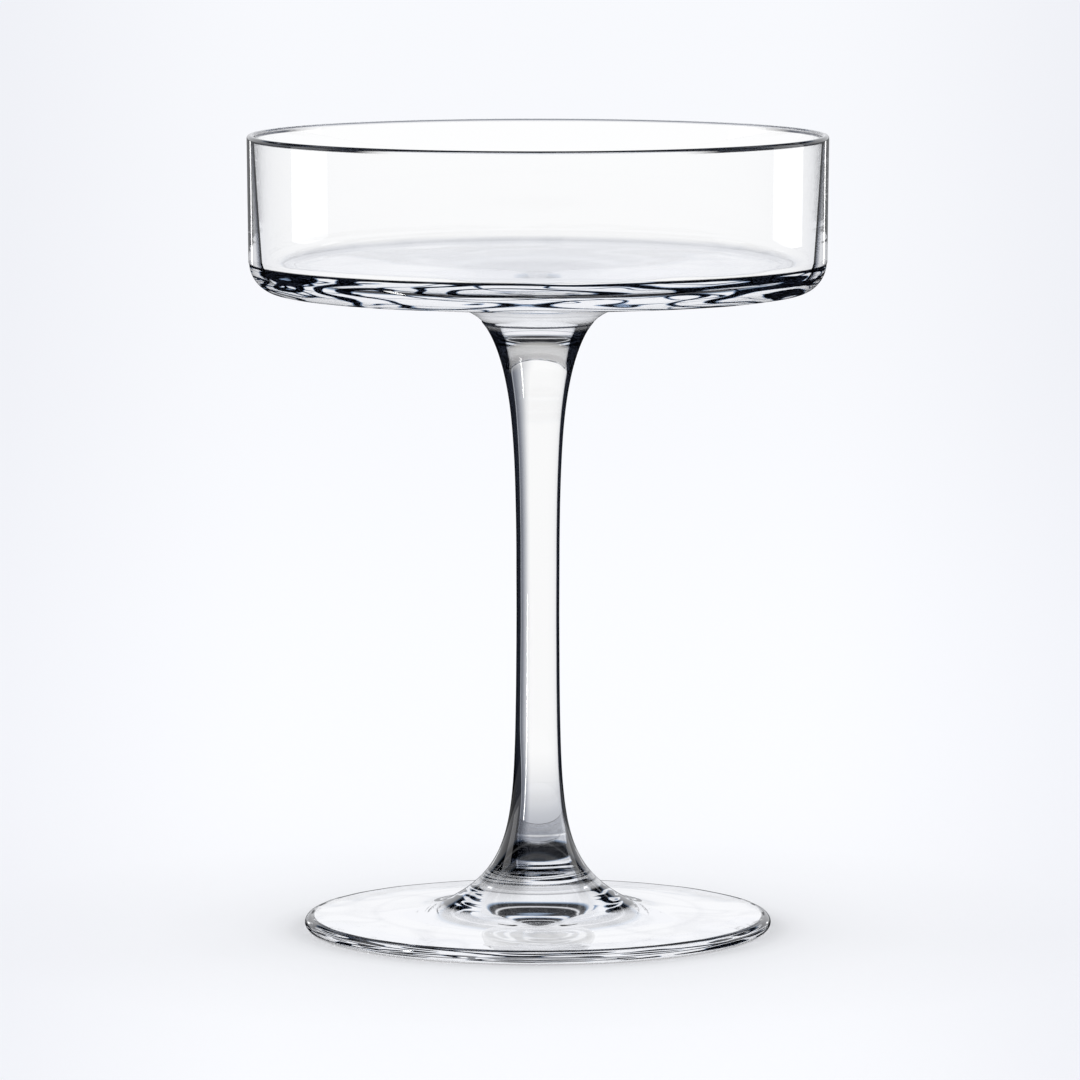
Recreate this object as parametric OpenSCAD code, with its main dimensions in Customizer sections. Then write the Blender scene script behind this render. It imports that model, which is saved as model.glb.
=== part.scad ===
// Coupe glass: a wide, shallow bowl on a slender stem and a round foot.
// Bowl, stem and foot are three pieces of glass, joined end to end at flat faces.
// The origin is the centre of the foot's resting plane, +Z is up, and sizes are in millimetres.

/* [Whole glass] */
// Height from the table to the top of the rim
glass_h = 151.5; // [135:0.5:180]

/* [Bowl] */
// Outside diameter of the bowl at its rim
bowl_d = 110; // [90:1:130]
// Height of the bowl from its underside to the top of the rim
bowl_h = 30; // [22:0.5:45]
// How far the wall leans in from the rim to its foot, on the radius
bowl_lean = 0.25; // [0:0.05:3]
// Radius of the rounded corner outside, between the wall and the underside
bowl_corner_r = 6; // [4:0.25:9]
// Radius of the rounded corner inside, between the wall and the floor
inside_corner_r = 2.25; // [1.5:0.25:7]
// Thickness of the wall at the rim, which is rounded over
rim_t = 1.4; // [1.1:0.1:2.5]
// Thickness of the wall at its foot
wall_t = 2.7; // [1.6:0.1:3.8]
// Thickness of the floor under the inside
floor_t = 3.4; // [2.4:0.1:5]

/* [Stem] */
// Diameter that the stem's waist tends to, a little under its narrowest because both flares run into it
waist_d = 7.9; // [6:0.1:11]
// Length of the neck that is drawn down under the bowl, as far as the joint with the stem
neck_h = 14; // [8:0.5:20]
// Depth under the bowl over which the wide root of the neck falls to a third
root_len = 1.25; // [0.8:0.05:3]
// Radius that the slow swell of the neck adds at the bowl's underside
swell_r = 10.7; // [4:0.1:14]
// Depth under the bowl over which the slow swell falls to a third
swell_len = 10.5; // [5:0.5:18]

/* [Foot] */
// Diameter of the foot
foot_d = 89; // [74:1:104]
// Thickness of the foot at its rounded edge
foot_edge_t = 2.6; // [1.8:0.1:4]
// How much higher the plate is at the cone than at its edge
plate_rise = 0.7; // [0.2:0.1:2]
// Height of the foot piece, as far as the joint with the stem
foot_h = 18.5; // [12:0.5:26]
// Radius that the steep cone adds at the level of the plate
cone_r = 16.2; // [9:0.1:19]
// Height over which the steep cone falls to a third
cone_len = 6.5; // [4:0.25:9]
// Radius that the slow swell of the ankle adds at the level of the plate
ankle_r = 1.5; // [0.5:0.05:3]
// Height over which the slow swell of the ankle falls to a third
ankle_len = 20; // [10:1:30]
// Height above the plate at which the cone starts to run out into it
toe_h = 1.7; // [1:0.1:3]
// Width of the flat ring that the glass rests on
rest_w = 5; // [3:0.5:8]
// Height of the shallow hollow under the foot
hollow_h = 1.2; // [0.4:0.1:1.8]

/* [Hidden] */

$fn = 160;
// Straight steps in a quarter round, a flare and the plate's run from cone to edge
corner_steps = 12;
flare_steps = 24;
plate_steps = 20;
glass_tint = [0.88, 0.93, 0.95, 0.4];

bowl_r = bowl_d / 2;
wall_foot_r = bowl_r - bowl_lean;
under_z = glass_h - bowl_h;
floor_z = under_z + floor_t;
rim_r = rim_t / 2;
inside_foot_r = wall_foot_r - wall_t;

waist_r = waist_d / 2;
under_r = wall_foot_r - bowl_corner_r;
root_r = under_r - waist_r - swell_r;
neck_z = under_z - neck_h;

foot_r = foot_d / 2;
edge_r = foot_edge_t / 2;
plate_out_r = foot_r - edge_r;
plate_z = foot_edge_t + plate_rise;
toe_z = plate_z + toe_h;
rest_r = plate_out_r - rest_w;

// Radius of the stem and of both flares at height z, one curve through all three pieces
function stem_r(z) =
    waist_r
    + root_r * exp((z - under_z) / root_len)
    + swell_r * exp((z - under_z) / swell_len)
    + cone_r * exp((plate_z - z) / cone_len)
    + ankle_r * exp((plate_z - z) / ankle_len);

// How much the radius of the foot's cone grows for each step down at height z
function cone_slope(z) =
    cone_r / cone_len * exp((plate_z - z) / cone_len)
    + ankle_r / ankle_len * exp((plate_z - z) / ankle_len);

// Where the cone ends and its toe begins, and the length over which the toe runs out at the same slope
toe_r = stem_r(toe_z);
plate_slope = plate_rise / (plate_out_r - toe_r);
toe_len = toe_h / (1 / cone_slope(toe_z) - plate_slope);

// Height of the foot's upper face at radius r, outside the cone
function plate_top(r) =
    foot_edge_t + plate_slope * (plate_out_r - r) + toe_h * exp((toe_r - r) / toe_len);

// Height of the shallow hollow under the foot at radius r
function hollow_top(r) = hollow_h * (1 + cos(180 * r / rest_r)) / 2;

// Points on an arc about a centre, from one angle to another, both ends included
function arc(x, z, r, from, to, steps) =
    [for (i = [0 : steps]) let (a = from + (to - from) * i / steps) [x + r * cos(a), z + r * sin(a)]];

// Points on the flare between two heights, both ends included, closer together near the first
function flare(from, to) =
    [for (i = [0 : flare_steps]) let (z = from + (to - from) * pow(i / flare_steps, 2)) [stem_r(z), z]];

// The same points in the other order
function reversed(points) = [for (i = [len(points) - 1 : -1 : 0]) points[i]];

// The list without its first point, where the point is on the list before it
function rest_of(points) = [for (i = [1 : len(points) - 1]) points[i]];

// The bowl's outline in the half plane: neck, underside, wall, rim, and back down the inside
function bowl_outline() = concat(
    [[0, neck_z]],
    reversed(rest_of(flare(under_z, neck_z))),
    arc(under_r, under_z + bowl_corner_r, bowl_corner_r, -90, 0, corner_steps),
    arc(bowl_r - rim_r, glass_h - rim_r, rim_r, 0, 180, corner_steps),
    arc(inside_foot_r - inside_corner_r, floor_z + inside_corner_r, inside_corner_r, 0, -90, corner_steps),
    [[0, floor_z]]
);

// The stem's outline, closest together at its two ends
function stem_outline() = concat(
    [[0, foot_h]],
    flare(foot_h, (foot_h + neck_z) / 2),
    rest_of(reversed(flare(neck_z, (foot_h + neck_z) / 2))),
    [[0, neck_z]]
);

// The foot's outline: cone, toe and plate, round edge, resting ring and the hollow underneath
function foot_outline() = concat(
    [[0, foot_h]],
    reversed(flare(toe_z, foot_h)),
    [for (i = [1 : plate_steps])
        let (r = toe_r + (plate_out_r - toe_r) * pow(i / plate_steps, 2)) [r, plate_top(r)]],
    rest_of(arc(plate_out_r, edge_r, edge_r, 90, -90, corner_steps)),
    [for (i = [plate_steps : -1 : 0]) let (r = rest_r * i / plate_steps) [r, hollow_top(r)]]
);

// Wide bowl with straight sides, a rounded rim and a neck drawn down to the stem
module bowl() {
    color(glass_tint) rotate_extrude() polygon(bowl_outline());
}

// Slender solid stem that swells a little towards both joints
module stem() {
    color(glass_tint) rotate_extrude() polygon(stem_outline());
}

// Round foot with a low cone that carries the stem
module foot() {
    color(glass_tint) rotate_extrude() polygon(foot_outline());
}

bowl();
stem();
foot();
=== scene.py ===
import math

import bpy
import bmesh
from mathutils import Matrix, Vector, noise


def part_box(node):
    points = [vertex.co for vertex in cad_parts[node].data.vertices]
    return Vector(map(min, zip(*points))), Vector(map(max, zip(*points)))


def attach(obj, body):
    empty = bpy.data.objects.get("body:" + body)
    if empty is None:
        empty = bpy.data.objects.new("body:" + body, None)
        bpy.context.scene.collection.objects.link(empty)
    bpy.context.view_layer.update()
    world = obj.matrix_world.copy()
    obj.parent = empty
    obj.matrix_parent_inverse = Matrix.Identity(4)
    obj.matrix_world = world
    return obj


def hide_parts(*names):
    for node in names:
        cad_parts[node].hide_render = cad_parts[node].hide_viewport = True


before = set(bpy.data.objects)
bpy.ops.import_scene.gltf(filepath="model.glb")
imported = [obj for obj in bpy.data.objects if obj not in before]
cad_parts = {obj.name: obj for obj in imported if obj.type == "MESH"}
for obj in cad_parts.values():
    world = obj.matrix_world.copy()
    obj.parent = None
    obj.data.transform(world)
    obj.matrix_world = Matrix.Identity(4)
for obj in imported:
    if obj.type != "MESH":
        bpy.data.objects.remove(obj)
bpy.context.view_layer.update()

# Sizes of the glass in metres: the boxes come from the frame, the rest is the glass's own
BOWL_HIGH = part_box("bowl")[1]
STEM_LOW, STEM_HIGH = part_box("stem")
FOOT_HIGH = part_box("foot")[1]
GLASS_H = BOWL_HIGH[2]
BOWL_R = BOWL_HIGH[0]
NECK_Z = STEM_HIGH[2]
ANKLE_Z = STEM_LOW[2]
FOOT_R = FOOT_HIGH[0]

BOWL_H = 0.030
BOWL_LEAN = 0.00025
BOWL_CORNER_R = 0.006
INSIDE_CORNER_R = 0.00225
RIM_T = 0.0014
WALL_T = 0.0027
FLOOR_T = 0.0034
WAIST_R = 0.00395
ROOT_LEN = 0.00125
SWELL_R = 0.0107
SWELL_LEN = 0.0105
FOOT_EDGE_T = 0.0026
PLATE_RISE = 0.0007
CONE_R = 0.0162
CONE_LEN = 0.0065
ANKLE_R = 0.0015
ANKLE_LEN = 0.020
TOE_H = 0.0017
REST_W = 0.005
HOLLOW_H = 0.0012

WALL_FOOT_R = BOWL_R - BOWL_LEAN
UNDER_Z = GLASS_H - BOWL_H
FLOOR_Z = UNDER_Z + FLOOR_T
WALL_FOOT_Z = FLOOR_Z + INSIDE_CORNER_R
CORNER_TOP_Z = UNDER_Z + BOWL_CORNER_R
RIM_R = RIM_T / 2
INSIDE_FOOT_R = WALL_FOOT_R - WALL_T
UNDER_R = WALL_FOOT_R - BOWL_CORNER_R
ROOT_R = UNDER_R - WAIST_R - SWELL_R
EDGE_R = FOOT_EDGE_T / 2
PLATE_OUT_R = FOOT_R - EDGE_R
PLATE_Z = FOOT_EDGE_T + PLATE_RISE
TOE_Z = PLATE_Z + TOE_H
REST_R = PLATE_OUT_R - REST_W

# How finely the glass is turned: steps round the axis and along the outline
TURNS = 256
FLARE_STEPS = 90
CORNER_STEPS = 24
WALL_STEPS = 24
FLAT_STEPS = 60
# Powers that draw the points of a run together near its start
UNDERSIDE_POWER = 2.0
STEM_POWER = 1.5
PLATE_POWER = 1.5
# Distance in metres under which two points are one
SAME_POINT = 1e-7
# Places of the two materials on each piece
GLASS_SLOT = 0
SEAM_SLOT = 1

# How far from true the pressed and drawn glass is: how deep the hollows go and how long their waves
# are, in metres, and where in the noise they start. On bowl and foot they go inwards. On the stem
# they stand out of the true shape instead, by less than 0.03 mm: inwards() says why.
BASE_WAVES = (0.00016, 0.020, 7.0)
CORNER_WAVES = (0.00008, 0.009, 11.0)
WALL_WAVES = (0.00001, 0.030, 3.0)
DRAWN_WAVES = (0.00003, 0.008, 5.0)
PLATE_WAVES = (0.00005, 0.014, 17.0)
EDGE_WAVES = (0.00010, 0.0065, 13.0)
# How much of a hollow's depth the noise takes up on either side of the middle
WAVE_SPREAD = 0.6
# Length over which the waves fade out towards a joint
CALM_LEN = 0.004

# The camera, worked out from the photograph's ellipses
CAMERA_BACK = 1.423
CAMERA_UP = 0.2325
CAMERA_SIDE = 0.0004
CAMERA_PITCH = math.radians(6.34)
CAMERA_LENS = 251.2
CAMERA_CLIP = (0.05, 30.0)
SENSOR = 36.0

# Colours, where 1 is white
CLEAR = (1.0, 1.0, 1.0, 1.0)
GLASS = (0.995, 0.997, 1.0, 1.0)
BRIGHT = (1.0, 1.0, 1.0, 1.0)
SHEEN = (0.6, 0.6, 0.6, 1.0)
BACKDROP = (0.93, 0.94, 0.975, 1.0)
POOL = (0.972, 0.980, 1.0, 1.0)
POOL_EDGE = (0.885, 0.893, 0.928, 1.0)
SHADE = (0.008, 0.009, 0.012, 1.0)
HALF_SHADE = (0.24, 0.245, 0.255, 1.0)
BLUE_SHADE = (0.30, 0.40, 0.55, 1.0)
PAINTED_LINE_BLUE = (0.09, 0.16, 0.3025, 1.0)

GLASS_IOR = 1.52
# The base colour for a share of light that passes is that share to these powers, in red, green and
# blue: glass tints by the root of its colour, and the painted shade is a little bluer where it is darker
PASS_POWERS = (2.14, 2.056, 1.858)

# What the glass finds round it, by the angle in degrees above the horizon.
# Light that goes straight through sees a pale table; light that has bounced inside the glass
# sees bright rings low down and overhead, and dark between them.
STRAIGHT_ON = (
    (-90, (0.74, 0.75, 0.78, 1.0)),
    (-40, (0.68, 0.69, 0.72, 1.0)),
    (-20, (0.78, 0.79, 0.82, 1.0)),
    (-11, BRIGHT),
    (15, BRIGHT),
    (22, (0.66, 0.65, 0.65, 1.0)),
    (28, (0.82, 0.81, 0.80, 1.0)),
    (38, (0.72, 0.71, 0.70, 1.0)),
    (52, (0.45, 0.44, 0.43, 1.0)),
    (65, (0.28, 0.28, 0.28, 1.0)),
    (90, (0.20, 0.20, 0.20, 1.0)),
)
BOUNCED = (
    (-44, SHADE),
    (-38, BLUE_SHADE),
    (-33, BACKDROP),
    (17, BACKDROP),
    (19, BLUE_SHADE),
    (21, SHADE),
    (25, SHADE),
    (26.5, BACKDROP),
    (28, SHADE),
    (35, SHADE),
    (37, BLUE_SHADE),
    (39, BACKDROP),
    (43, BACKDROP),
    (45, BLUE_SHADE),
    (47, SHADE),
    (53, SHADE),
    (55, BACKDROP),
    (57, SHADE),
)
# What the glass mirrors from below the horizon turns from half shade to full shade between these
# two sines of the angle
SHADE_DOWN = (-0.082, -0.086)
# Bounces inside the glass that change nothing, and what is left of the rings after each further one
FREE_BOUNCES = 1
KEPT = 0.25

# The table: radius in metres and number of sides of its disc, how far it lies under the foot, and
# the share of its light that it gives off itself
TABLE_R = 9.0
TABLE_SIDES = 96
TABLE_DROP = 0.0001
TABLE_GLOW = 0.55
# Pool of light on the table: how far in front of the glass it starts, the least distance from there,
# and how wide it is at its bright and its dim edge for each metre
POOL_START = 1.5
POOL_LEAST = 0.3
POOL_SPREAD = (0.030, 0.085)
# Light on the table round the foot, by distance from its edge in metres
SHADOW_REACH = 0.07
CONTACT_SHADOW = (
    (0.0, 0.78),
    (0.002, 0.82),
    (0.004, 0.875),
    (0.008, 0.925),
    (0.015, 0.95),
    (0.030, 0.975),
    (0.070, 1.0),
)

# Lamps: azimuth in degrees from the camera's side to the right, distance, height of the lower and of
# the upper edge and width in metres, level, and whether the lamp lights matt surfaces
LAMPS = {
    "soft_box_left": (-100, 0.9, 0.06, 0.7, 0.36, 1.5, True),
    "soft_box_right": (115, 0.9, 0.06, 0.7, 0.36, 1.5, True),
    "strip_light": (-58, 0.15, 0.002, 0.046, 0.009, 30.0, False),
    "edge_light_left": (-156.4, 0.91, 0.03, 0.12, 0.045, 2.5, False),
    "edge_light_right": (156.4, 0.91, 0.03, 0.12, 0.045, 2.5, False),
}

# The tables below paint shade into the glass's base colour; each gives the share of light that passes,
# and 0 is black.
# Painted dark outlines of neck, stem and ankle, by how far the surface turns away from the eye; the
# second table is for the side towards -X, which is painted as the shaded side
LIT_EDGE = ((0.10, 1.0), (0.30, 0.98), (0.44, 0.90), (0.48, 0.60), (0.50, 0.02), (1.0, 0.0))
SHADED_EDGE = (
    (0.07, 1.0),
    (0.11, 0.87),
    (0.16, 0.63),
    (0.19, 0.52),
    (0.23, 0.40),
    (0.27, 0.29),
    (0.31, 0.22),
    (0.36, 0.18),
    (0.375, 0.38),
    (0.395, 0.38),
    (0.405, 0.02),
    (1.0, 0.0),
)
# Painted shade outside the line of the bowl's inside, by how far past it the wall turns away, as a share
# of the width
PAINTED_WALL_SHADE = (
    (0.0, 1.0),
    (0.008, 0.0),
    (0.07, 0.0),
    (0.10, 0.12),
    (0.14, 0.30),
    (0.20, 0.55),
    (0.26, 0.85),
    (0.30, 1.0),
)
PAINTED_WALL_SHADE_WIDTH = 0.27
# Painted shade at the foot of the stem and on the ankle, in rings and fading out up the stem, by height
# in metres
PAINTED_ANKLE_SHADE = (
    (0.00815, 1.0),
    (0.0083, 0.15),
    (0.0085, 1.0),
    (0.0095, 1.0),
    (0.0096, 0.05),
    (0.0098, 0.05),
    (0.0099, 1.0),
    (0.0107, 1.0),
    (0.0108, 0.10),
    (0.0109, 1.0),
    (0.0112, 0.95),
    (0.01135, 0.05),
    (0.0115, 0.90),
    (0.0118, 0.30),
    (0.0124, 0.25),
    (0.0129, 1.0),
    (0.0137, 0.90),
    (0.0145, 0.50),
    (0.0165, 0.50),
    (0.0167, 1.0),
    (0.0169, 1.0),
    (0.0171, 0.66),
    (0.0183, 0.60),
    (0.01845, 1.0),
    (0.0186, 1.0),
    (0.01875, 0.52),
    (0.0205, 0.60),
    (0.0235, 0.74),
    (0.0275, 0.88),
    (0.0345, 1.0),
)
PAINTED_ANKLE_SHADE_REACH = 0.04
# Painted shade on the floor of the bowl, by distance from the middle in metres
PAINTED_FLOOR_SHADE = (
    (0.0, 0.86),
    (0.010, 0.84),
    (0.0135, 0.90),
    (0.016, 1.0),
    (0.026, 1.0),
    (0.032, 0.95),
    (0.044, 0.96),
    (0.0475, 0.90),
    (0.0500, 1.0),
)
# Painted shade on the foot's rounded edge, by height as a share of its thickness
PAINTED_EDGE_SHADE = (
    (0.0, 0.30),
    (0.04, 0.30),
    (0.06, 1.0),
    (0.90, 1.0),
    (0.925, 0.05),
    (1.0, 0.05),
)
# Painted shade on the plate of the foot, by distance from the middle in metres
PAINTED_PLATE_SHADE = (
    (0.0140, 1.0),
    (0.0150, 0.80),
    (0.0160, 1.0),
    (0.0180, 1.0),
    (0.0195, 0.88),
    (0.0205, 1.0),
    (0.0300, 1.0),
    (0.0310, 0.92),
    (0.0325, 1.0),
)
# Painted shade: a thin dark ring across the neck, by depth below the bowl in metres
PAINTED_NECK_SHADE = (
    (0.0056, 1.0),
    (0.00575, 0.10),
    (0.0060, 0.10),
    (0.00615, 1.0),
)
PAINTED_NECK_SHADE_REACH = 0.01
# Painted shade on the front of the rounded rim, on its lip at the back and on the line at the back
PAINTED_RIM_FRONT_SHADE = 0.02
PAINTED_FAR_LIP_SHADE = 0.12
PAINTED_FAR_LINE_SHADE = 0.45
# Painted shade in the middle of a wavy line
PAINTED_LINE_SHADE = 0.01

# Where each look begins and where it is full. Slopes are shares of the normal: 1 is straight out from
# the axis, straight up or straight to the left. The corner's is the share outwards less the one up.
UPRIGHT = (0.45, 0.85)
LEVEL = (0.5, 0.9)
PLATE_LEVEL = (0.8, 0.95)
# On the side towards -X the outlines of neck and stem get a painted shaded side
LEFT_SIDE = (0.05, 0.25)
CORNER_SIDE = (0.2, 0.6)
RIM_OUTSIDE = (-0.1, 0.1)
FAR_LIP_INSIDE = (-0.93, -0.97)
FAR_LINE_INSIDE = (-0.35, -0.5)
FAR_LINE_END = (-0.9, -0.7)
# How far the rounded rim turns away from the eye, on its front and on its lip at the back
RIM_FRONT = (0.12, 0.22)
FAR_LIP = (0.30, 0.55)
# Heights in metres
WALL_FROM = (UNDER_Z + 0.002, UNDER_Z + 0.004)
RIM_FROM = (GLASS_H - 1.5 * RIM_R, GLASS_H - 1.25 * RIM_R)
BELOW_RIM = (GLASS_H - 0.01, GLASS_H - 0.02)
BELOW_CORNER_TOP = (CORNER_TOP_Z + 0.0001, CORNER_TOP_Z - 0.0001)
BROW_FROM = (CORNER_TOP_Z - 0.0006, CORNER_TOP_Z - 0.0004)
UPPER_CORNER_FROM = (CORNER_TOP_Z - 0.0032, CORNER_TOP_Z - 0.0024)
NECK_JOINT_FROM = (NECK_Z - 0.001, NECK_Z + 0.0015)
NECK_JOINT_TO = (NECK_Z + 0.0085, NECK_Z + 0.005)
BELOW_NECK = (NECK_Z + 0.005, NECK_Z - 0.001)
LOWER_STEM = (ANKLE_Z + 0.022, ANKLE_Z + 0.004)
BELOW_ANKLE_JOINT = (ANKLE_Z + 0.001, ANKLE_Z - 0.003)
RINGS_FROM = (0.0090, 0.0100)
RINGS_TO = (0.0141, 0.0135)
FOLDS_FROM = (0.0042, 0.0049)
FOLDS_TO = (0.0093, 0.0083)
STREAKS_FROM = (0.0003, 0.0006)
# Distances from the axis in metres
NECK_INSIDE = (0.034, 0.024)
NECK_RING_INSIDE = (0.020, 0.016)
CORNER_OUTSIDE = (0.046, 0.048)
CONE_INSIDE = (0.030, 0.025)
FOOT_EDGE_OUTSIDE = (PLATE_OUT_R - 0.0006, PLATE_OUT_R - 0.0003)

# How much wider the painted dark outlines are near a joint, and on the painted shaded side of the stem
# low down
WIDER_AT_JOINT = 0.25
WIDER_LOW_DOWN = 0.8

# Wavy dark lines of painted shade where the glass is thick: how long and thick they are in metres,
# how often they repeat, what share of the surface they take in the middle and aside, how soft they
# are, and where in the noise they start
BASE_LINES = {
    "long": 0.044, "thick": 0.0027, "repeats": 15.0,
    "cover": 0.20, "cover_aside": 0.42, "softness": 0.14, "start": 4.0,
}
BASE_FINE_LINES = {
    "long": 0.030, "thick": 0.0018, "repeats": 13.0,
    "cover": 0.10, "cover_aside": 0.14, "softness": 0.12, "start": 9.0,
}
FOOT_LINES = {
    "long": 0.028, "thick": 0.00065, "repeats": 13.0,
    "cover": 0.48, "cover_aside": 0.64, "softness": 0.10, "start": 2.0,
}
ANKLE_LINES = {
    "long": 0.026, "thick": 0.0011, "repeats": 13.0,
    "cover": 0.34, "cover_aside": 0.34, "softness": 0.12, "start": 8.0,
}
CONE_LINES = {
    "long": 0.014, "thick": 0.0012, "repeats": 10.0,
    "cover": -0.3, "cover_aside": 0.72, "softness": 0.18, "start": 5.0,
}
LINE_NOISE = {"Scale": 1.0, "Detail": 1.0, "Roughness": 0.35, "Distortion": 0.25}
# How far the lines are moved down their own pattern, in metres
PATTERN_DOWN = -0.0005
# Where a wavy line of painted shade is blue, between its dark middle and the clear glass
LINE_BLUE_AT = 0.45
# How far aside the lines' share starts to change and where it is full, as turned_aside() counts it
ASIDE = (0.08, 0.25)
# The painted dark brow at the top of the corner: how much more the lines take in the middle and aside
BROW_ASIDE = (0.02, 0.13)
BROW_COVER = (0.28, 0.8)
UPPER_CORNER_COVER = 0.10
# How far above the corner its slope is counted from, in metres
CORNER_SLOPE_UP = 0.00066
# The cone's painted dark folds: how far it turns away where they begin and where they are full, and
# how far aside that counts as
FOLDS_FACING = (0.40, 0.62)
FOLDS_ASIDE = 0.3
# The least slope that counts when a rounded edge turns aside
LEAST_TILT = 0.06

# Soft pale patches of painted shade on flat faces: how large they are in metres and the least light they
# pass
FLOOR_CLOUDS = (0.022, 0.93)
PLATE_CLOUDS = (0.015, 0.90)
CLOUD_NOISE = {"Detail": 1.0, "Distortion": 0.6}
# Levels of the noise where a patch begins, is palest and ends
CLOUD_LEVELS = (0.35, 0.47, 0.56, 0.66)


def stem_r(z):
    """Radius of the stem and both flares at height z."""
    return (
        WAIST_R
        + ROOT_R * math.exp((z - UNDER_Z) / ROOT_LEN)
        + SWELL_R * math.exp((z - UNDER_Z) / SWELL_LEN)
        + CONE_R * math.exp((PLATE_Z - z) / CONE_LEN)
        + ANKLE_R * math.exp((PLATE_Z - z) / ANKLE_LEN)
    )


def cone_slope(z):
    """How much the foot's cone widens for each step down at height z."""
    steep = CONE_R / CONE_LEN * math.exp((PLATE_Z - z) / CONE_LEN)
    slow = ANKLE_R / ANKLE_LEN * math.exp((PLATE_Z - z) / ANKLE_LEN)
    return steep + slow


TOE_R = stem_r(TOE_Z)
PLATE_SLOPE = PLATE_RISE / (PLATE_OUT_R - TOE_R)
TOE_LEN = TOE_H / (1 / cone_slope(TOE_Z) - PLATE_SLOPE)


def plate_top(r):
    """Height of the foot's upper face at radius r, outside the cone."""
    return FOOT_EDGE_T + PLATE_SLOPE * (PLATE_OUT_R - r) + TOE_H * math.exp((TOE_R - r) / TOE_LEN)


def hollow_top(r):
    """Height of the shallow hollow under the foot at radius r."""
    return HOLLOW_H * (1 + math.cos(math.pi * r / REST_R)) / 2


def run(start, end, steps, power=1.0):
    """Values from start to end, both included, closer together near the start where power is over 1."""
    return [start + (end - start) * (i / steps) ** power for i in range(steps + 1)]


def arc(x, z, r, start, end, steps):
    """Points on an arc about (x, z), with angles in degrees."""
    angles = [math.radians(a) for a in run(start, end, steps)]
    return [(x + r * math.cos(a), z + r * math.sin(a)) for a in angles]


def line(a, b, steps):
    """Points between a and b, without the two ends."""
    shares = [i / steps for i in range(1, steps)]
    return [(a[0] + (b[0] - a[0]) * share, a[1] + (b[1] - a[1]) * share) for share in shares]


def joined(*parts):
    """The parts one after another, without points that lie on the last one."""
    out = []
    for part in parts:
        for p in part:
            if not out or math.dist(out[-1], p) > SAME_POINT:
                out.append(p)
    return out


def bowl_outline():
    """From the joint up the neck, round the corner, over the rim and back down the inside."""
    inside_x = INSIDE_FOOT_R - INSIDE_CORNER_R
    under = [(stem_r(z), z) for z in run(UNDER_Z, NECK_Z, FLARE_STEPS, UNDERSIDE_POWER)][::-1]
    corner = arc(UNDER_R, CORNER_TOP_Z, BOWL_CORNER_R, -90, 0, CORNER_STEPS)
    rim = arc(BOWL_R - RIM_R, GLASS_H - RIM_R, RIM_R, 0, 180, CORNER_STEPS)
    inside = arc(inside_x, WALL_FOOT_Z, INSIDE_CORNER_R, 0, -90, CORNER_STEPS)
    floor = [(r, FLOOR_Z) for r in run(inside_x, 0, FLAT_STEPS)]
    outer_wall = line(corner[-1], rim[0], WALL_STEPS)
    inner_wall = line(rim[-1], inside[0], WALL_STEPS)
    return joined(under, corner, outer_wall, rim, inner_wall, inside, floor)


def stem_outline():
    """From the lower joint up to the upper one."""
    middle = (ANKLE_Z + NECK_Z) / 2
    low = [(stem_r(z), z) for z in run(ANKLE_Z, middle, FLARE_STEPS, STEM_POWER)]
    high = [(stem_r(z), z) for z in run(NECK_Z, middle, FLARE_STEPS, STEM_POWER)][::-1]
    return joined(low, high)


def foot_outline():
    """From the joint down the cone, out over the plate, round the edge and back underneath."""
    cone = [(stem_r(z), z) for z in run(TOE_Z, ANKLE_Z, FLARE_STEPS)][::-1]
    plate = [(r, plate_top(r)) for r in run(TOE_R, PLATE_OUT_R, FLAT_STEPS, PLATE_POWER)]
    edge = arc(PLATE_OUT_R, EDGE_R, EDGE_R, 90, -90, CORNER_STEPS)
    under = [(r, hollow_top(r)) for r in run(REST_R, 0, FLAT_STEPS)]
    return joined(cone, plate, edge, under)


def hollow(x, y, z, waves):
    """Depth of the gentle hollows at this place, between 0 and the depth of these waves."""
    depth, length, start = waves
    level = noise.noise(Vector((x / length + start, y / length, z / length)))
    return depth * min(1.0, max(0.0, 0.5 + WAVE_SPREAD * level))


def calm(z, joint):
    """Share of the waves that is left at height z: none at the joint, all of it further away."""
    share = min(1.0, abs(z - joint) / CALM_LEN)
    return share * share * (3 - 2 * share)


def bowl_waves(r, x, y, z):
    """Hollows of the wall, of the drawn neck, or of the thick base."""
    if z > WALL_FOOT_Z:
        return hollow(x, y, z, WALL_WAVES)
    if r < SWELL_R and z < UNDER_Z:
        return calm(z, NECK_Z) * hollow(x, y, z, DRAWN_WAVES)
    return hollow(x, y, z, BASE_WAVES) + hollow(x, y, z, CORNER_WAVES)


def stem_waves(r, x, y, z):
    """How far the drawn stem stands out of its true shape."""
    return calm(z, NECK_Z) * calm(z, ANKLE_Z) * hollow(x, y, z, DRAWN_WAVES)


def foot_waves(r, x, y, z):
    """Hollows of the edge, of the cone, or of the plate."""
    if r > REST_R:
        return hollow(x, y, z, EDGE_WAVES)
    if z > TOE_Z:
        return calm(z, ANKLE_Z) * hollow(x, y, z, DRAWN_WAVES)
    return hollow(x, y, z, PLATE_WAVES)


def inwards(outline):
    """For each point of an outline that ends on the axis, the direction into the glass.

    The stem's outline has both ends off the axis and is slender between them, so its area counts
    the other way round, and what comes out for the stem is the direction out of the glass.
    """
    area = sum(a[0] * b[1] - b[0] * a[1] for a, b in zip(outline, outline[1:] + outline[:1]))
    side = 1 if area > 0 else -1
    out = []
    for i in range(len(outline)):
        a = outline[max(i - 1, 0)]
        b = outline[min(i + 1, len(outline) - 1)]
        length = math.dist(a, b)
        out.append((-side * (b[1] - a[1]) / length, side * (b[0] - a[0]) / length))
    return out


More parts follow.
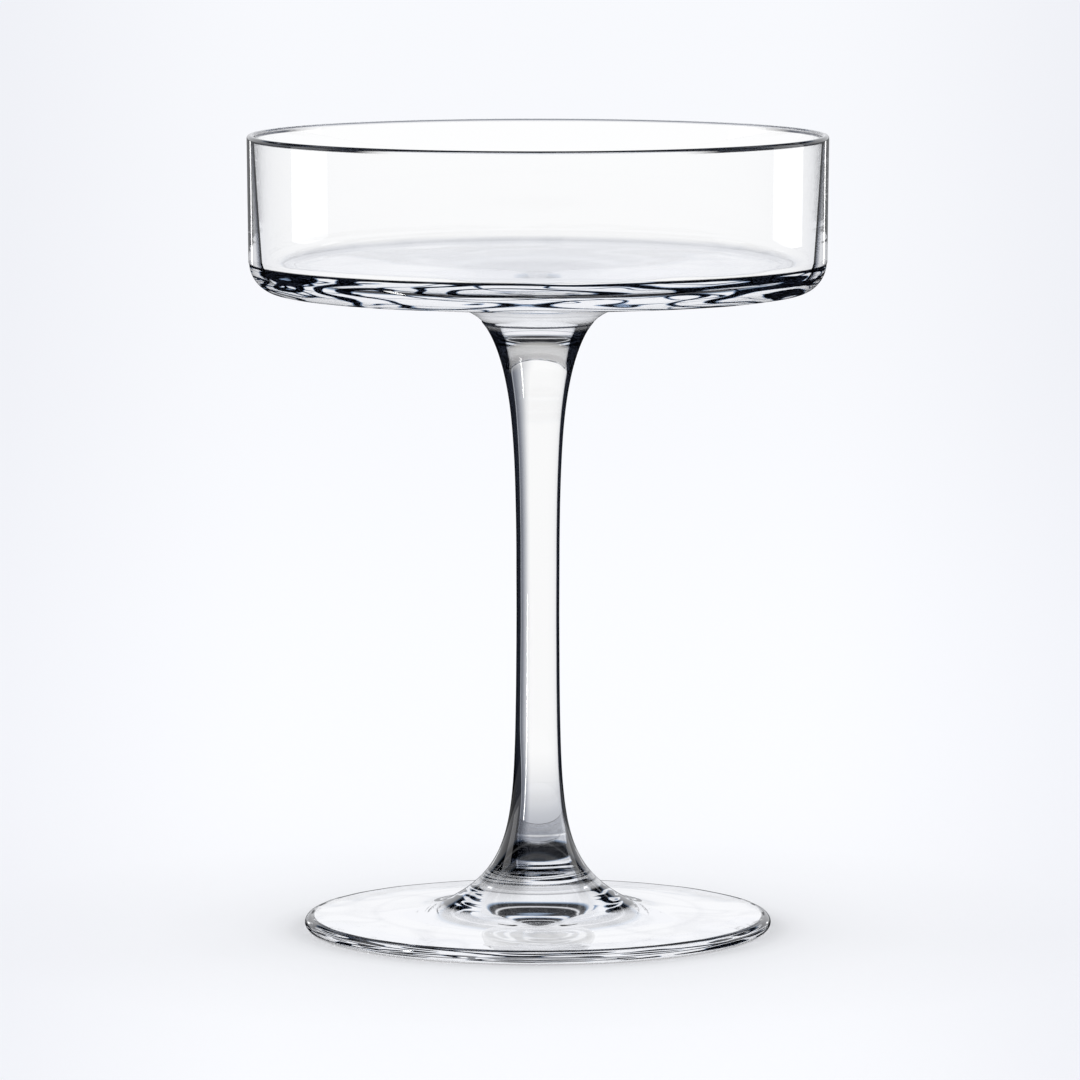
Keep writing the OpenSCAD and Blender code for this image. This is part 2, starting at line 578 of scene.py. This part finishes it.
def ring_of(bm, point, inward, waves):
    """The vertices that one point of the outline makes when it is turned, with its hollows."""
    (r, z), (in_r, in_z) = point, inward
    if r < SAME_POINT:
        return [bm.verts.new((0, 0, z + in_z * waves(0, 0, 0, z)))]
    ring = []
    for k in range(TURNS):
        turn = 2 * math.pi * k / TURNS
        depth = waves(r, r * math.cos(turn), r * math.sin(turn), z)
        out_r = r + in_r * depth
        ring.append(bm.verts.new((out_r * math.cos(turn), out_r * math.sin(turn), z + in_z * depth)))
    return ring


def skin(bm, a, b):
    """The faces between two rings, where the second may be a single point."""
    for k in range(TURNS):
        n = (k + 1) % TURNS
        if len(b) == 1:
            bm.faces.new((a[k], a[n], b[0]))
        else:
            bm.faces.new((a[k], a[n], b[n], b[k]))


def cap(bm, ring):
    """The flat face of a joint, with the seam's material and a sharp edge."""
    centre = bm.verts.new((0, 0, ring[0].co.z))
    for k in range(TURNS):
        n = (k + 1) % TURNS
        bm.faces.new((ring[k], ring[n], centre)).material_index = SEAM_SLOT
        bm.edges.get((ring[k], ring[n])).smooth = False


def turned(name, outline, seams, waves, glass, seam):
    """A closed mesh turned from an outline; seams are the end rings that lie on a joint."""
    bm = bmesh.new()
    rings = [ring_of(bm, point, inward, waves) for point, inward in zip(outline, inwards(outline))]
    for a, b in zip(rings, rings[1:]):
        skin(bm, a, b)
    for end in seams:
        cap(bm, rings[end])
    for face in bm.faces:
        face.smooth = face.material_index == GLASS_SLOT
    bmesh.ops.recalc_face_normals(bm, faces=bm.faces[:])
    mesh = bpy.data.meshes.new(name)
    bm.to_mesh(mesh)
    bm.free()
    mesh.materials.append(glass)
    mesh.materials.append(seam)
    piece = bpy.data.objects.new(name, mesh)
    bpy.context.scene.collection.objects.link(piece)
    return piece


class Net:
    """The nodes of one material or world, with short ways to add the common ones."""

    def __init__(self, tree):
        self.nodes = tree.nodes
        self.links = tree.links
        self.nodes.clear()

    def add(self, kind, **settings):
        node = self.nodes.new("ShaderNode" + kind)
        for key, value in settings.items():
            setattr(node, key, value)
        return node

    def feed(self, socket, value):
        """Link an output to this input, or set the input to a constant."""
        if isinstance(value, bpy.types.NodeSocket):
            self.links.new(value, socket)
        else:
            socket.default_value = value

    def math(self, kind, *values):
        node = self.add("Math", operation=kind)
        for socket, value in zip(node.inputs, values):
            self.feed(socket, value)
        return node.outputs[0]

    def times(self, first, *others):
        """The product of all these values."""
        product = first
        for value in others:
            product = self.math("MULTIPLY", product, value)
        return product

    def vector(self, kind, *values):
        node = self.add("VectorMath", operation=kind)
        for socket, value in zip(node.inputs, values):
            self.feed(socket, value)
        return node.outputs["Value" if kind in ("DOT_PRODUCT", "LENGTH") else "Vector"]

    def split(self, vector):
        """The X, Y and Z of a vector."""
        node = self.add("SeparateXYZ")
        self.feed(node.inputs[0], vector)
        return node.outputs

    def turned_away(self):
        """How far the surface turns away from whoever looks: 0 when met head on, 1 at the outline."""
        node = self.add("LayerWeight")
        self.feed(node.inputs["Blend"], 0.5)
        return node.outputs["Facing"]

    def step(self, value, low, high):
        """A smooth rise from 0 at low to 1 at high, which may be the smaller one."""
        node = self.add("MapRange", interpolation_type="SMOOTHSTEP")
        for name, number in (("Value", value), ("From Min", low), ("From Max", high)):
            self.feed(node.inputs[name], number)
        return node.outputs["Result"]

    def between(self, value, low, high, to_low, to_high):
        """An even change from to_low at low to to_high at high."""
        node = self.add("MapRange")
        names = ("Value", "From Min", "From Max", "To Min", "To Max")
        for name, number in zip(names, (value, low, high, to_low, to_high)):
            self.feed(node.inputs[name], number)
        return node.outputs["Result"]

    def ramp(self, value, stops):
        """A colour from (position, colour) stops."""
        node = self.add("ValToRGB")
        self.feed(node.inputs[0], value)
        elements = node.color_ramp.elements
        while len(elements) < len(stops):
            elements.new(1.0)
        for element, (position, colour) in zip(elements, stops):
            element.position = position
            element.color = colour
        return node.outputs[0]

    def mix(self, share, a, b, kind="MIX"):
        node = self.add("Mix", data_type="RGBA", blend_type=kind)
        for socket, value in ((node.inputs[0], share), (node.inputs[6], a), (node.inputs[7], b)):
            self.feed(socket, value)
        return node.outputs[2]

    def blend(self, share, a, b):
        """A shader that is a where the share is 0 and b where it is 1."""
        node = self.add("MixShader")
        for socket, value in zip(node.inputs, (share, a, b)):
            self.feed(socket, value)
        return node.outputs[0]

    def shader(self, kind, colour):
        """A plain shader of this colour."""
        node = self.add(kind)
        self.feed(node.inputs["Color"], colour)
        return node.outputs[0]


def passed(share):
    """The base colour that lets this share of the light in."""
    return (*(share ** power for power in PASS_POWERS), 1.0)


def edge_facing(thickness, radius):
    """How far a wall turns away where its inside shows, seen from outside."""
    share = 1 - thickness / radius
    return 1 - math.sqrt(1 - share ** 2)


class Surface(Net):
    """The nodes of a glass, with what they need to know about the place on it."""

    def __init__(self, tree):
        super().__init__(tree)
        geometry = self.add("NewGeometry")
        self.facing = self.turned_away()
        self.place = self.add("TexCoord").outputs["Object"]
        self.z = self.split(self.place)["Z"]
        flat = self.vector("MULTIPLY", self.place, (1, 1, 0))
        self.r = self.vector("LENGTH", flat)
        normal = geometry.outputs["Normal"]
        self.out = self.vector("DOT_PRODUCT", normal, self.vector("NORMALIZE", flat))
        self.up = self.vector("DOT_PRODUCT", normal, (0, 0, 1))
        self.left = self.vector("DOT_PRODUCT", normal, (-1, 0, 0))
        self.met = self.math("SUBTRACT", 1.0, geometry.outputs["Backfacing"])

    def share(self, value, stops):
        """Base colour from (value, share of light that passes) stops, for values from 0 to 1."""
        return self.ramp(value, [(v, passed(p)) for v, p in stops])

    def tone(self, value, reach, stops):
        """Base colour from (metres, share of light that passes) stops, for values up to this reach."""
        return self.share(self.math("DIVIDE", value, reach), [(v / reach, p) for v, p in stops])

    def tint(self, zone, colour, dark):
        """The colour, darkened where the zone is."""
        return self.mix(zone, colour, dark, "MULTIPLY")

    def turned_aside(self, low):
        """How far round from the viewer a place on a rounded edge is; low is the sine of its slope."""
        tilt = self.math("SUBTRACT", 1.0, self.times(low, low))
        tilt = self.math("SQRT", self.math("MAXIMUM", tilt, LEAST_TILT))
        towards = self.math("SUBTRACT", 1.0, self.facing)
        return self.math("SUBTRACT", 1.0, self.math("DIVIDE", towards, tilt))

    def noise_at(self, place, settings):
        """A noise at this place, around one half."""
        node = self.add("TexNoise")
        for name, value in settings.items():
            node.inputs[name].default_value = value
        self.feed(node.inputs["Vector"], place)
        return node.outputs["Fac"]

    def lines(self, aside, more, long, thick, repeats, cover, cover_aside, softness, start):
        """Wavy lines of painted shade that run round the glass: the base colour, dark on the lines."""
        place = self.vector("ADD", self.place, (0, 0, PATTERN_DOWN))
        place = self.vector("MULTIPLY", place, (1 / long, 1 / long, 1 / thick))
        place = self.vector("ADD", place, (start, start, 0))
        wave = self.times(self.noise_at(place, LINE_NOISE), repeats)
        wave = self.math("PINGPONG", wave, 1.0)
        taken = self.math("ADD", self.between(aside, *ASIDE, cover, cover_aside), more)
        level = self.math("MULTIPLY_ADD", self.math("SUBTRACT", wave, taken), 1 / softness, 0.5)
        return self.ramp(level, ((0.0, passed(PAINTED_LINE_SHADE)), (LINE_BLUE_AT, PAINTED_LINE_BLUE), (1.0, CLEAR)))

    def clouds(self, length, least):
        """Soft, pale patches of painted shade: the base colour, from clear down to the given share of
        light.
        """
        level = self.noise_at(self.place, {"Scale": 1 / length, **CLOUD_NOISE})
        return self.share(level, tuple(zip(CLOUD_LEVELS, (1.0, 1.0, least, 1.0))))


def painted_shade_at_wall(net, colour):
    """Painted shade towards the wall's outlines, from the line of its inside outwards."""
    start = net.between(
        net.z, WALL_FOOT_Z, GLASS_H - RIM_R, edge_facing(WALL_T, WALL_FOOT_R), edge_facing(RIM_T, BOWL_R)
    )
    past = net.math("DIVIDE", net.math("SUBTRACT", net.facing, start), PAINTED_WALL_SHADE_WIDTH)
    zone = net.times(net.step(net.out, *UPRIGHT), net.step(net.z, *WALL_FROM))
    return net.tint(zone, colour, net.share(past, PAINTED_WALL_SHADE))


def painted_shade_at_rods(net, colour, inside):
    """Painted shade towards the outlines of neck, stem and ankle, within this distance from the axis."""
    near_joint = net.times(net.step(net.z, *NECK_JOINT_FROM), net.step(net.z, *NECK_JOINT_TO))
    near_joint = net.math("ADD", near_joint, net.step(net.z, *BELOW_ANKLE_JOINT))
    facing = net.times(net.facing, net.math("MULTIPLY_ADD", near_joint, WIDER_AT_JOINT, 1.0))
    low_down = net.math("MULTIPLY_ADD", net.step(net.z, *LOWER_STEM), WIDER_LOW_DOWN, 1.0)
    shade = net.share(net.times(facing, low_down), SHADED_EDGE)
    # Painted shaded side: the side towards -X, below the neck
    shaded_side = net.times(net.step(net.left, *LEFT_SIDE), net.step(net.z, *BELOW_NECK))
    dark = net.mix(shaded_side, net.share(facing, LIT_EDGE), shade)
    zone = net.times(net.step(net.out, *UPRIGHT), net.step(net.r, *inside))
    return net.tint(zone, colour, dark)


def painted_ring_on_neck(net, colour):
    """One ring of painted shade round the neck."""
    ring = net.tone(net.math("SUBTRACT", UNDER_Z, net.z), PAINTED_NECK_SHADE_REACH, PAINTED_NECK_SHADE)
    zone = net.times(net.step(net.r, *NECK_RING_INSIDE), net.met)
    return net.tint(zone, colour, ring)


def painted_shade_on_floor(net, colour):
    """Painted shade on the floor of the bowl: soft patches and rings."""
    level = net.step(net.up, *LEVEL)
    colour = net.tint(net.times(level, net.met), colour, net.clouds(*FLOOR_CLOUDS))
    zone = net.times(level, net.step(net.z, *BELOW_RIM), net.met)
    return net.tint(zone, colour, net.tone(net.r, BOWL_R, PAINTED_FLOOR_SHADE))


def painted_lines_in_corner(net, colour):
    """Painted shade in the thick corner between wall and floor: wavy lines, with a dark brow along its
    top.
    """
    low = net.math("MAXIMUM", net.math("SUBTRACT", CORNER_TOP_Z + CORNER_SLOPE_UP, net.z), 0.0)
    aside = net.turned_aside(net.math("DIVIDE", low, BOWL_CORNER_R))
    brow = net.times(net.step(net.z, *BROW_FROM), net.between(aside, *BROW_ASIDE, *BROW_COVER))
    upper = net.times(net.step(net.z, *UPPER_CORNER_FROM), UPPER_CORNER_COVER)
    lines = net.lines(aside, net.math("ADD", brow, upper), **BASE_LINES)
    lines = net.tint(1.0, lines, net.lines(aside, 0.0, **BASE_FINE_LINES))
    side = net.step(net.math("SUBTRACT", net.out, net.up), *CORNER_SIDE)
    zone = net.times(net.step(net.z, *BELOW_CORNER_TOP), net.step(net.r, *CORNER_OUTSIDE), side, net.met)
    return net.tint(zone, colour, lines)


def painted_lines_on_rim(net, colour):
    """Painted shade: a dark line on the front of the rounded rim and on its lip at the back, and a grey
    one between.
    """
    zone = net.times(net.step(net.z, *RIM_FROM), net.met)
    front = net.times(zone, net.step(net.out, *RIM_OUTSIDE), net.step(net.facing, *RIM_FRONT))
    far_lip = net.times(zone, net.step(net.out, *FAR_LIP_INSIDE), net.step(net.facing, *FAR_LIP))
    far_line = net.times(zone, net.step(net.out, *FAR_LINE_INSIDE), net.step(net.out, *FAR_LINE_END))
    colour = net.tint(front, colour, passed(PAINTED_RIM_FRONT_SHADE))
    colour = net.tint(far_lip, colour, passed(PAINTED_FAR_LIP_SHADE))
    return net.tint(far_line, colour, passed(PAINTED_FAR_LINE_SHADE))


def painted_rings_on_ankle(net, colour):
    """Rings of painted shade across the foot of the stem and the ankle, fading out up the stem."""
    return net.tint(net.met, colour, net.tone(net.z, PAINTED_ANKLE_SHADE_REACH, PAINTED_ANKLE_SHADE))


def painted_lines_on_ankle(net, colour):
    """Thin wavy lines of painted shade round the ankle."""
    zone = net.times(net.step(net.z, *RINGS_FROM), net.step(net.z, *RINGS_TO), net.met)
    return net.tint(zone, colour, net.lines(0.0, 0.0, **ANKLE_LINES))


def painted_folds_on_cone(net, colour):
    """Painted dark folds at both sides of the cone's toe."""
    aside = net.between(net.facing, *FOLDS_FACING, 0.0, FOLDS_ASIDE)
    zone = net.times(net.step(net.z, *FOLDS_FROM), net.step(net.z, *FOLDS_TO), net.met)
    return net.tint(zone, colour, net.lines(aside, 0.0, **CONE_LINES))


def painted_streaks_on_edge(net, colour):
    """Painted shade on the foot's rounded edge: streaks along it, under the dark line where it meets the
    plate.
    """
    on_edge = net.times(net.step(net.r, *FOOT_EDGE_OUTSIDE), net.met)
    aside = net.turned_aside(net.math("MULTIPLY_ADD", net.z, 1 / EDGE_R, -1.0))
    streaks = net.times(on_edge, net.step(net.z, *STREAKS_FROM))
    colour = net.tint(streaks, colour, net.lines(aside, 0.0, **FOOT_LINES))
    return net.tint(on_edge, colour, net.share(net.math("DIVIDE", net.z, FOOT_EDGE_T), PAINTED_EDGE_SHADE))


def painted_shade_on_plate(net, colour):
    """Painted shade on the plate: soft patches and rings."""
    zone = net.times(net.step(net.up, *PLATE_LEVEL), net.met)
    colour = net.tint(zone, colour, net.clouds(*PLATE_CLOUDS))
    return net.tint(zone, colour, net.tone(net.r, FOOT_R, PAINTED_PLATE_SHADE))


def bowl_colour(net):
    colour = painted_shade_at_wall(net, GLASS)
    colour = painted_shade_at_rods(net, colour, NECK_INSIDE)
    colour = painted_ring_on_neck(net, colour)
    colour = painted_shade_on_floor(net, colour)
    colour = painted_lines_in_corner(net, colour)
    return painted_lines_on_rim(net, colour)


def stem_colour(net):
    colour = painted_shade_at_rods(net, GLASS, CONE_INSIDE)
    return painted_rings_on_ankle(net, colour)


def foot_colour(net):
    colour = painted_shade_at_rods(net, GLASS, CONE_INSIDE)
    colour = painted_rings_on_ankle(net, colour)
    colour = painted_lines_on_ankle(net, colour)
    colour = painted_folds_on_cone(net, colour)
    colour = painted_streaks_on_edge(net, colour)
    return painted_shade_on_plate(net, colour)


def new_material(name, kind):
    """A material with nodes, and the net of them."""
    material = bpy.data.materials.new(name)
    material.use_nodes = True
    return material, kind(material.node_tree)


def glass_material(name, colour_of, sheen):
    """Clear glass with painted dark lines of shade where it is thick or turns away, as before a bright
    backdrop.
    """
    material, net = new_material(name, Surface)
    glass = net.add("BsdfPrincipled")
    glass.inputs["Roughness"].default_value = 0.0
    glass.inputs["IOR"].default_value = GLASS_IOR
    glass.inputs["Transmission Weight"].default_value = 1.0
    glass.inputs["Specular Tint"].default_value = sheen
    net.feed(glass.inputs["Base Color"], colour_of(net))
    net.feed(net.add("OutputMaterial").inputs["Surface"], glass.outputs[0])
    return material


def seam_material():
    """The joint between two pieces of glass, which light passes as if nothing were there."""
    material, net = new_material("seam", Net)
    net.feed(net.add("OutputMaterial").inputs["Surface"], net.add("BsdfTransparent").outputs[0])
    return material


def ring_stops(rings):
    """Stops for a ramp from straight down to straight up, from angles above the horizon."""
    return [(angle / 180 + 0.5, colour) for angle, colour in rings]


def surroundings(net, rise):
    """What the glass shows of the room in a direction that rises by this sine, and for which rays."""
    light = net.add("LightPath")
    bounces = light.outputs["Glossy Depth"]
    place = net.math("MULTIPLY_ADD", net.math("ARCSINE", rise), 1 / math.pi, 0.5)
    straight = net.ramp(place, ring_stops(STRAIGHT_ON))
    bounced = net.ramp(place, ring_stops(BOUNCED))
    more = net.math("MAXIMUM", net.math("SUBTRACT", bounces, FREE_BOUNCES), 0.0)
    lost = net.math("SUBTRACT", 1.0, net.math("POWER", KEPT, more))
    bounced = net.mix(lost, bounced, BACKDROP)
    colour = net.mix(net.math("GREATER_THAN", bounces, 0.5), straight, bounced)
    falls = net.math("LESS_THAN", rise, 0.0)
    mirrored = net.times(light.outputs["Is Reflection Ray"], falls)
    mirror = net.mix(net.step(rise, *SHADE_DOWN), HALF_SHADE, SHADE)
    colour = net.mix(mirrored, colour, mirror)
    seen = net.math("MAXIMUM", light.outputs["Is Transmission Ray"], light.outputs["Is Glossy Ray"])
    return colour, seen


def table_light(net):
    """The colour of the table: a pool of light in front, and the shadow round the foot."""
    place = net.add("TexCoord").outputs["Object"]
    split = net.split(place)
    along = net.math("MAXIMUM", net.math("ADD", split["Y"], POOL_START), POOL_LEAST)
    beside = net.math("DIVIDE", net.math("ABSOLUTE", split["X"]), along)
    pool = net.mix(net.step(beside, *POOL_SPREAD), POOL, POOL_EDGE)
    away = net.math("SUBTRACT", net.vector("LENGTH", place), FOOT_R)
    away = net.math("DIVIDE", away, SHADOW_REACH)
    shadow = net.ramp(away, [(d / SHADOW_REACH, (v, v, v, 1.0)) for d, v in CONTACT_SHADOW])
    return net.mix(1.0, pool, shadow, "MULTIPLY")


def floor_material():
    """A pale table, which keeps the glass's shadow and which the glass shows as its surroundings."""
    material, net = new_material("table", Net)
    light = table_light(net)
    plain = net.blend(TABLE_GLOW, net.shader("BsdfDiffuse", light), net.shader("Emission", light))
    colour, seen = surroundings(net, net.math("SUBTRACT", net.turned_away(), 1.0))
    mixed = net.blend(seen, plain, net.shader("Emission", colour))
    net.feed(net.add("OutputMaterial").inputs["Surface"], mixed)
    return material


def build_world():
    world = bpy.data.worlds.new("studio")
    bpy.context.scene.world = world
    world.use_nodes = True
    net = Net(world.node_tree)
    direction = net.add("TexCoord").outputs["Generated"]
    colour, seen = surroundings(net, net.split(direction)["Z"])
    mixed = net.blend(seen, net.shader("Background", BACKDROP), net.shader("Background", colour))
    net.feed(net.add("OutputWorld").inputs["Surface"], mixed)


def build_floor():
    bm = bmesh.new()
    bmesh.ops.create_circle(bm, cap_ends=True, segments=TABLE_SIDES, radius=TABLE_R)
    mesh = bpy.data.meshes.new("table")
    bm.to_mesh(mesh)
    bm.free()
    mesh.materials.append(floor_material())
    floor = bpy.data.objects.new("table", mesh)
    floor.location.z = -TABLE_DROP
    bpy.context.scene.collection.objects.link(floor)


def build_lamp(name, azimuth, distance, low, high, width, level, lights_matt):
    """An upright lamp that faces the glass and is seen only in reflections."""
    lamp = bpy.data.lights.new(name, "AREA")
    lamp.shape = "RECTANGLE"
    lamp.size, lamp.size_y = width, high - low
    lamp.energy = level * width * (high - low) * math.pi
    light = bpy.data.objects.new(name, lamp)
    turn = math.radians(azimuth)
    place = Vector((math.sin(turn) * distance, -math.cos(turn) * distance, (low + high) / 2))
    light.location = place
    light.rotation_euler = Vector((-place.x, -place.y, 0)).to_track_quat("-Z", "Y").to_euler()
    light.visible_camera = False
    light.visible_transmission = False
    light.visible_diffuse = lights_matt
    bpy.context.scene.collection.objects.link(light)


def build_camera():
    data = bpy.data.cameras.new("camera")
    data.lens = CAMERA_LENS
    data.sensor_width = SENSOR
    data.clip_start, data.clip_end = CAMERA_CLIP
    camera = bpy.data.objects.new("camera", data)
    camera.location = (CAMERA_SIDE, -CAMERA_BACK, CAMERA_UP)
    camera.rotation_euler = (math.pi / 2 - CAMERA_PITCH, 0, 0)
    bpy.context.scene.collection.objects.link(camera)
    bpy.context.scene.camera = camera


def build_glass():
    seam = seam_material()
    pieces = (
        ("bowl", bowl_outline(), (0,), bowl_waves, bowl_colour, SHEEN),
        ("stem", stem_outline(), (0, -1), stem_waves, stem_colour, CLEAR),
        ("foot", foot_outline(), (0,), foot_waves, foot_colour, CLEAR),
    )
    for node, outline, seams, waves, colour_of, sheen in pieces:
        glass = glass_material(node + "_glass", colour_of, sheen)
        piece = turned(node + "_glass", outline, seams, waves, glass, seam)
        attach(piece, "root")
        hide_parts(node)


build_world()
build_floor()
for lamp_name, lamp_values in LAMPS.items():
    build_lamp(lamp_name, *lamp_values)
build_camera()
build_glass()

scene = bpy.context.scene
scene.view_settings.view_transform = "Standard"
scene.cycles.max_bounces = 96
scene.cycles.transmission_bounces = 48
scene.cycles.glossy_bounces = 32
scene.cycles.transparent_max_bounces = 32
scene.cycles.blur_glossy = 0.0
